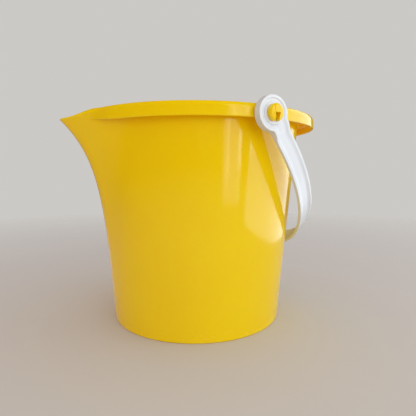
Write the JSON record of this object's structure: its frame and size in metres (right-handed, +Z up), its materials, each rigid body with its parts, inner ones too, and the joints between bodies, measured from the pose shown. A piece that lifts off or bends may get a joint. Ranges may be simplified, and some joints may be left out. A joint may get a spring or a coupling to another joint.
{
  "type": "sand bucket",
  "caption": "Child's sand bucket: a tapered plastic tub with a pouring spout, a turned-down rim wider at the back, and a swinging bail on moulded pegs.",
  "frame": {"origin": "on the tub's axis, on the flat underside", "axes": "+Z up, -X towards the spout, +X towards the finger grip, the two pegs on -Y and +Y"},
  "size_m": [0.2152, 0.2178, 0.175],
  "materials": {
    "yellow_plastic": "glossy moulded yellow",
    "white_plastic": "satin moulded white"
  },
  "bodies": {
    "tub_body": {"tub": "yellow_plastic"},
    "bail_body": {"bail": "white_plastic"}
  },
  "joints": [
    {"name": "bail_swing", "type": "hinge", "parent": "tub_body", "child": "bail_body", "pos_m": [0, 0, 0.1632], "axis": [0, -1, 0], "range_deg": [0, 278]}
  ]
}
